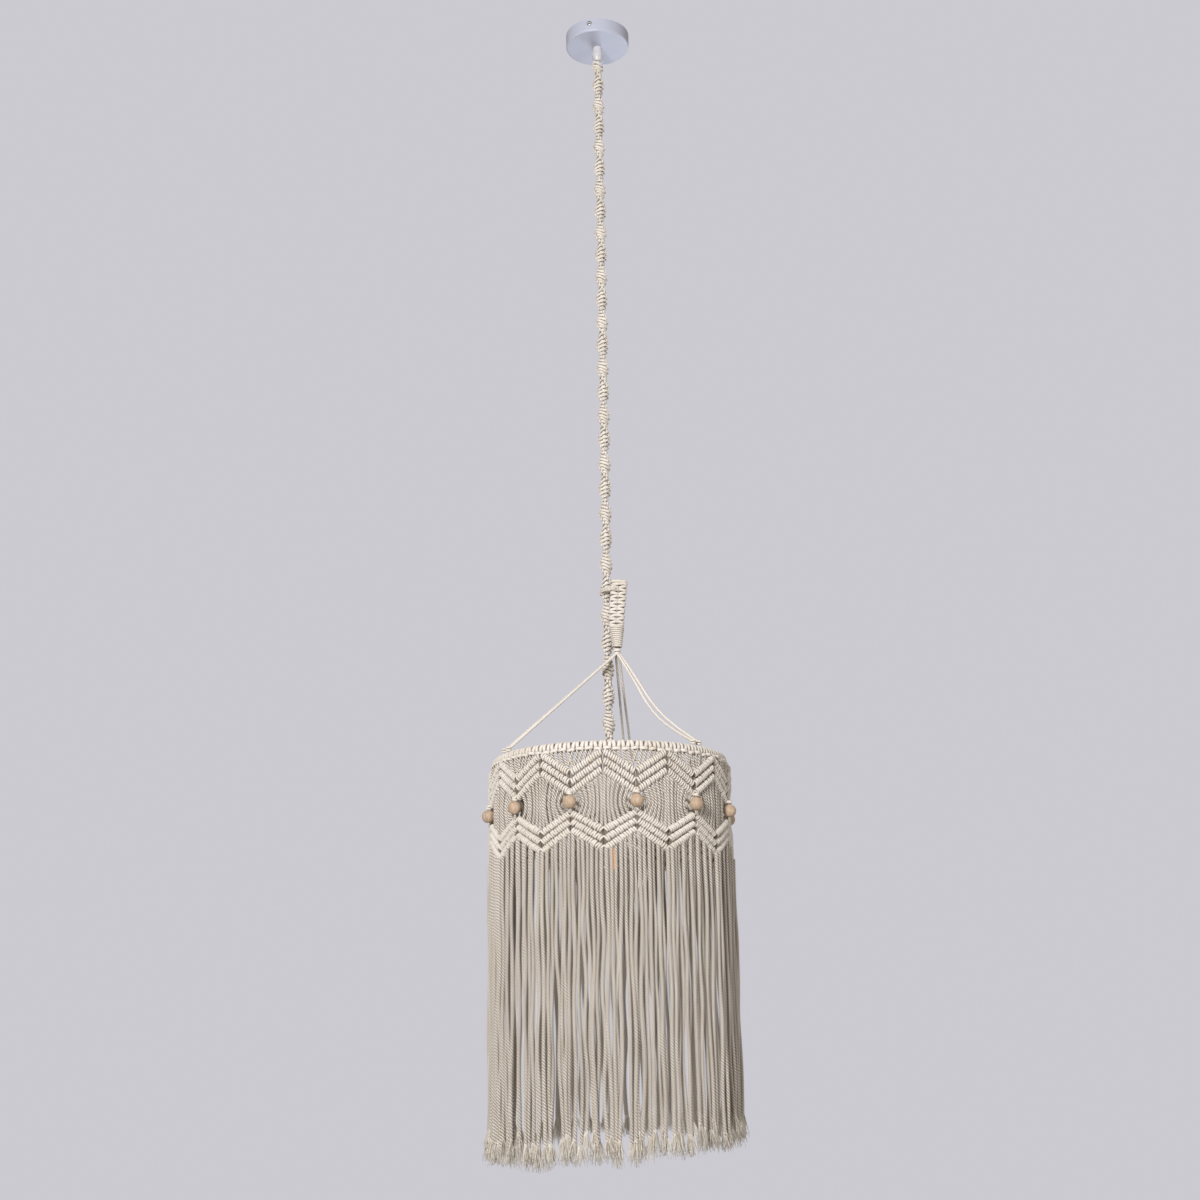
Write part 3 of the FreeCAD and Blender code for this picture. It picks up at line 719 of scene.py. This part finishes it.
BEAD_Z, BEAD_R_OUT = -1.1655, 0.161         # height of the beads, and distance from the axis
middles = []
for bead in bead_azimuths:
    for k in range(STRANDS):
        offset = (k - (STRANDS - 1) / 2) * STRAND_STEP
        share = 1 - abs(offset) / (STEP / 2)
        top = ridge_height(UPPER, RIDGES - 1, share) - 0.0015
        low = ridge_height(LOWER, 0, 1 - share) + 0.0015
        if abs(offset) < STRAND_STEP:
            middles.append(strand_along([at_azimuth(bead + offset * 0.3, BEAD_R_OUT, top + 0.0005),
                                         at_azimuth(bead + offset * 0.2, BEAD_R_OUT, BEAD_Z),
                                         at_azimuth(bead + offset * 0.3, 0.160, low - 0.0005)],
                                        diameter=0.003))
            continue
        pushed = math.copysign(3.6 + 0.78 * abs(offset), offset)
        wander = random.uniform(-0.35, 0.35)
        radius = SHADE_R - 0.0005 + random.uniform(-0.0012, 0.0012)
        middles.append(strand_along(
            [at_azimuth(bead + offset, radius - 0.001, top),
             at_azimuth(bead + (offset + 2 * pushed) / 3 + wander, radius, top + (BEAD_Z - top) * 0.45),
             at_azimuth(bead + pushed + wander, radius + 0.001, BEAD_Z),
             at_azimuth(bead + (offset + 2 * pushed) / 3 + wander, radius, BEAD_Z + (low - BEAD_Z) * 0.55),
             at_azimuth(bead + offset, radius - 0.001, low)]))
between = piece("cords_between_bands", middles, cord_cotton, "shade")
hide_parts("middle_cords")


# ---- Beads ----
# Raw turned beech, one under each low point of the upper band, with two strands through it and a
# small knot in them that rests on the bead.
BEECH_DARK, BEECH_PALE = (0.42, 0.30, 0.205, 1), (0.60, 0.46, 0.345, 1)


def wood(name):
    """Raw wood: a fine grain stretched along the bead's height."""
    material = bpy.data.materials.new(name)
    material.use_nodes = True
    tree = material.node_tree
    shader = tree.nodes["Principled BSDF"]
    shader.inputs["Roughness"].default_value = 0.62
    where = tree.nodes.new("ShaderNodeTexCoord")
    stretch = tree.nodes.new("ShaderNodeMapping")
    stretch.inputs["Scale"].default_value = (1.0, 1.0, 0.16)
    grain = tree.nodes.new("ShaderNodeTexNoise")
    grain.inputs["Scale"].default_value = 420.0
    grain.inputs["Detail"].default_value = 5.0
    grain.inputs["Distortion"].default_value = 0.6
    ramp = tree.nodes.new("ShaderNodeValToRGB")
    ramp.color_ramp.elements[0].position, ramp.color_ramp.elements[0].color = 0.32, BEECH_DARK
    ramp.color_ramp.elements[1].position, ramp.color_ramp.elements[1].color = 0.64, BEECH_PALE
    raised = tree.nodes.new("ShaderNodeBump")
    raised.inputs["Strength"].default_value = 0.25
    raised.inputs["Distance"].default_value = 0.0003
    tree.links.new(where.outputs["Object"], stretch.inputs["Vector"])
    tree.links.new(stretch.outputs["Vector"], grain.inputs["Vector"])
    tree.links.new(grain.outputs["Fac"], ramp.inputs["Fac"])
    tree.links.new(ramp.outputs["Color"], shader.inputs["Base Color"])
    tree.links.new(grain.outputs["Fac"], raised.inputs["Height"])
    tree.links.new(raised.outputs["Normal"], shader.inputs["Normal"])
    return material


def turned_bead(radius, hole_r):
    """A ball whose two poles are drawn in to the mouths of its hole."""
    bm = bmesh.new()
    bmesh.ops.create_uvsphere(bm, u_segments=32, v_segments=20, radius=radius)
    for vertex in bm.verts:
        across = math.hypot(vertex.co.x, vertex.co.y)
        if across < 1e-6:
            vertex.co.z *= 0.55
        elif across < hole_r:
            vertex.co.x *= hole_r / across
            vertex.co.y *= hole_r / across
            vertex.co.z *= 0.95
    return mesh_of(bm, "bead")


beech = wood("raw_beech")
bead_low, bead_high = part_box("wooden_bead_01")
ball = turned_bead((bead_high[2] - bead_low[2]) / 2, 0.003)
bead_knot = ring(0.0024, 0.0022, 0.0018, steps=12)
random.seed(35)
stops = []
for i, bead in enumerate(bead_azimuths):
    turn = Matrix.Rotation(math.radians(random.uniform(-8, 8)), 4, "Y")
    turned = facing_out(bead, BEAD_R_OUT, BEAD_Z) @ turn
    bead_piece = piece("turned_bead_%02d" % (i + 1), [(ball, placed(ball, turned))], beech, "shade")
    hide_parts("wooden_bead_%02d" % (i + 1))
    for lift, lean in ((0.0104, 12), (0.0124, -14)):
        place = facing_out(bead, 0.1605, BEAD_Z + lift) @ Matrix.Rotation(math.radians(lean), 4, "Y")
        stops.append((bead_knot, placed(bead_knot, place)))
piece("bead_knots", stops, cord_cotton, "shade")


# ---- Fringe ----
# The strands below the lower band hang free, a little wavy, drawn together here and there, and
# end in loose fibres. The two strands from each low point of the band hang in front of the rest.
TUFT = 0.025
FRINGE_D = 0.0053
FILAMENTS, FILAMENT_STEPS = 30, 4
FRONT_D = 0.0056
FRINGE_END, FRINGE_SLOPE = -1.580, 0.013
MEAN_STRAND = 0.36        # the lay of a longer or shorter strand is stretched or closed to fit
frayed_cotton = cotton("frayed_cotton", (0.82, 0.775, 0.70, 1), (0.66, 0.60, 0.50, 1), bump=0.1)


def fringe_end(azimuth):
    """Height of the tips, which is lowest at the front left."""
    return FRINGE_END - FRINGE_SLOPE * math.cos(math.radians(azimuth + 45))


def loose_fibre():
    """One fibre, one unit long, that thins towards its tip."""
    bm = bmesh.new()
    bmesh.ops.create_circle(bm, segments=3, radius=0.00042)
    bmesh.ops.spin(bm, geom=bm.verts[:] + bm.edges[:], cent=(0, 0, 0), axis=(0, 0, 1),
                   dvec=(0, 0, -1.0 / FILAMENT_STEPS), angle=0.3, steps=FILAMENT_STEPS)
    for vertex in bm.verts:
        thin = 1 + 0.5 * vertex.co.z
        vertex.co.x *= thin
        vertex.co.y *= thin
    bmesh.ops.holes_fill(bm, edges=[e for e in bm.edges if e.is_boundary], sides=3)
    return mesh_of(bm, "fibre")


fibre = loose_fibre()


def tuft():
    """Loose fibres that fan out below the origin, about as long as TUFT."""
    fibres = bmesh.new()
    ends = []
    for _ in range(FILAMENTS):
        angle, out = random.uniform(0, 2 * math.pi), math.sqrt(random.random())
        away = Vector((math.cos(angle), math.sin(angle), 0)) * out
        start = away * CORD_D * 0.4 + Vector((0, 0, 0.005))
        aim = away * random.uniform(0.003, 0.0115) - Vector((0, 0, TUFT * random.uniform(0.55, 1.1)))
        curl = Vector((random.uniform(-1, 1), random.uniform(-1, 1), 0)) * 0.0018
        line = even(np.array([start, start.lerp(aim, 0.3) - away * 0.0008 + curl * 0.5,
                              start.lerp(aim, 0.65) + curl, aim]), FILAMENT_STEPS + 1)
        fibres.from_mesh(fibre)
        ends.append(laid_along(fibre, line))
    mesh = mesh_of(fibres, "tuft")
    mesh.vertices.foreach_set("co", np.concatenate(ends).ravel())
    return mesh


random.seed(40)
tufts = [tuft() for _ in range(5)]
fringe_cord = straight_cord(MEAN_STRAND, FRINGE_D)
front_cord = straight_cord(MEAN_STRAND, FRONT_D, valley=0.74)


def hanging_line(azimuth, drift, radius, top, knot_end):
    """Points down a strand that hangs from the band: small waves that start below the knots."""
    phase, swing = random.uniform(0, 2 * math.pi), random.uniform(0.2, 0.85)
    waves = random.uniform(1.5, 3.4)
    points = []
    for down in np.linspace(0, 1, 11):
        grown = min(1.0, down * 4)
        sway = swing * grown * math.sin(phase + 2 * math.pi * waves * down) + drift * down ** 1.4
        out = 0.0012 * grown * math.sin(phase * 2 + 2 * math.pi * waves * 0.8 * down)
        points.append(at_azimuth(azimuth + sway, radius + out, top + (knot_end - top) * down))
    return points


random.seed(41)
front_count = 0
for i, bead in enumerate(bead_azimuths):
    strands, ends = [], []
    group_end, pull, group_middle = 0, 0.0, 0.0
    for k in range(STRANDS):
        offset = (k - (STRANDS - 1) / 2) * STRAND_STEP
        if k == group_end:
            group = random.choice((2, 3, 3, 4))
            group_middle = offset + (group - 1) / 2 * STRAND_STEP + random.uniform(-0.5, 0.5)
            group_end, pull = k + group, random.uniform(0.25, 0.65)
        azimuth = bead + offset
        share = 1 - abs(offset) / (STEP / 2)
        in_front = k in (0, STRANDS - 1)
        top = ridge_height(LOWER, RIDGES - 1, 1 - share) - 0.001
        end = fringe_end(azimuth) + random.uniform(-0.004, 0.010)
        radius = SHADE_R + (0.0015 if k % 2 else -0.0014) + random.uniform(-0.0005, 0.0005)
        drift = (group_middle - offset) * pull + random.uniform(-0.5, 0.5)
        if in_front:
            radius = SHADE_R + 0.0035
            drift = -math.copysign(0.25, offset) + random.uniform(-0.5, 0.5)
        knot_end = end + TUFT * random.uniform(0.75, 1.1)
        points = hanging_line(azimuth, drift, radius, top, knot_end)
        if in_front:
            front_count += 1
            route = smooth_route(points, 70)
            laid = laid_along(front_cord, route, random.uniform(0, 2 * math.pi))
            strand = piece("front_strand_%02d" % front_count, [(front_cord, laid)], cord_cotton, "shade")
        else:
            route = smooth_route(points, 60)
            strands.append((fringe_cord, laid_along(fringe_cord, route, random.uniform(0, 2 * math.pi))))
        tip, before = Vector(points[-1]), Vector(points[-2])
        fan = random.choice(tufts)
        aim = (before - tip).to_track_quat("Z", "Y").to_matrix().to_4x4()
        spread = random.uniform(0.8, 1.3)
        turned = (Matrix.Translation(tip) @ aim @ Matrix.Rotation(random.uniform(0, 2 * math.pi), 4, "Z")
                  @ Matrix.Diagonal((spread, spread, (tip.z - end) / TUFT, 1)))
        ends.append((fan, placed(fan, turned)))
    panel = piece("fringe_panel_%02d" % (i + 1), strands, cord_cotton, "shade")
    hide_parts("fringe_%02d" % (i + 1))
    piece("frayed_ends_%02d" % (i + 1), ends, frayed_cotton, "shade")


# ---- Lampholder and bulb ----
# A white moulded E27 holder on the end of the flex and a clear 95 mm globe with one upright
# glowing filament on a glass stem.
holder_moulding = plain("holder_moulding", (0.78, 0.76, 0.7), 0.4, scale=500.0)
ceramic = plain("holder_ceramic", (0.76, 0.75, 0.7), 0.6, scale=800.0, bump=0.2)
rolled_cap = plain("rolled_cap", (0.72, 0.7, 0.66), 0.35, metallic=1.0, scale=400.0)
finish_node(holder_moulding, "lampholder_cap", "lampholder_body", "lampholder_ring")
finish_node(ceramic, "lampholder_insert")
finish_node(rolled_cap, "bulb_cap", "bulb_contact")


def clear_glass(name):
    material = bpy.data.materials.new(name)
    material.use_nodes = True
    shader = material.node_tree.nodes["Principled BSDF"]
    shader.inputs["Base Color"].default_value = (0.97, 0.98, 0.98, 1)
    shader.inputs["Roughness"].default_value = 0.02
    shader.inputs["Transmission Weight"].default_value = 1.0
    shader.inputs["IOR"].default_value = 1.45
    return material


glass = clear_glass("clear_glass")
finish_node(glass, "bulb_glass", "bulb_stem")

glow = bpy.data.materials.new("glowing_filament")
glow.use_nodes = True
glow_shader = glow.node_tree.nodes["Principled BSDF"]
glow_shader.inputs["Base Color"].default_value = (1.0, 0.5, 0.12, 1)
glow_shader.inputs["Emission Color"].default_value = (1.0, 0.30, 0.04, 1)
glow_shader.inputs["Emission Strength"].default_value = 0.9
finish_node(glow, "bulb_filament")


# ---- Studio ----
# A pale floor well under the lamp, a pale surround, three large soft lights and a small one that
# reaches the canopy from below.
FLOOR_Z = -3.4
floor_mesh = bmesh.new()
bmesh.ops.create_grid(floor_mesh, x_segments=2, y_segments=2, size=4.5)
floor_mesh = mesh_of(floor_mesh, "floor")
floor_mesh.transform(Matrix.Translation((0, 0, FLOOR_Z)))
floor_mesh.materials.append(plain("studio_floor", (0.82, 0.84, 0.88), 0.8, scale=20.0))
floor = bpy.data.objects.new("floor", floor_mesh)
bpy.context.scene.collection.objects.link(floor)

world = bpy.data.worlds.new("studio")
world.use_nodes = True
air = world.node_tree
seen, around = air.nodes["Background"], air.nodes.new("ShaderNodeBackground")
seen.inputs["Color"].default_value = (0.60, 0.592, 0.640, 1)
around.inputs["Color"].default_value = (0.66, 0.56, 0.45, 1)
around.inputs["Strength"].default_value = 0.35
path = air.nodes.new("ShaderNodeLightPath")
choice = air.nodes.new("ShaderNodeMixShader")
air.links.new(path.outputs["Is Camera Ray"], choice.inputs["Fac"])
air.links.new(around.outputs["Background"], choice.inputs[1])
air.links.new(seen.outputs["Background"], choice.inputs[2])
air.links.new(choice.outputs["Shader"], air.nodes["World Output"].inputs["Surface"])
bpy.context.scene.world = world


def soft_light(name, at, aim, size, watts, colour=(1, 1, 1)):
    """A square lamp at a place, turned to a point."""
    light = bpy.data.lights.new(name, "AREA")
    light.shape = "SQUARE"
    light.size = size
    light.energy = watts
    light.color = colour
    lamp = bpy.data.objects.new(name, light)
    bpy.context.scene.collection.objects.link(lamp)
    lamp.location = at
    lamp.rotation_euler = (Vector(aim) - Vector(at)).to_track_quat("-Z", "Y").to_euler()


soft_light("key", (-0.9, -2.3, -0.55), (0, 0, -1.3), 0.7, 60, (1.0, 0.99, 0.985))
soft_light("fill", (2.2, -1.6, -0.8), (0, 0, -1.2), 1.2, 18, (0.97, 0.98, 1.0))
soft_light("back", (0.8, 2.4, -0.4), (0, 0, -1.2), 1.6, 18, (1.0, 0.95, 0.9))
soft_light("canopy_light", (0.2, 0.45, -0.5), (0, 0, 0), 0.4, 2.2, (0.86, 0.92, 1.0))
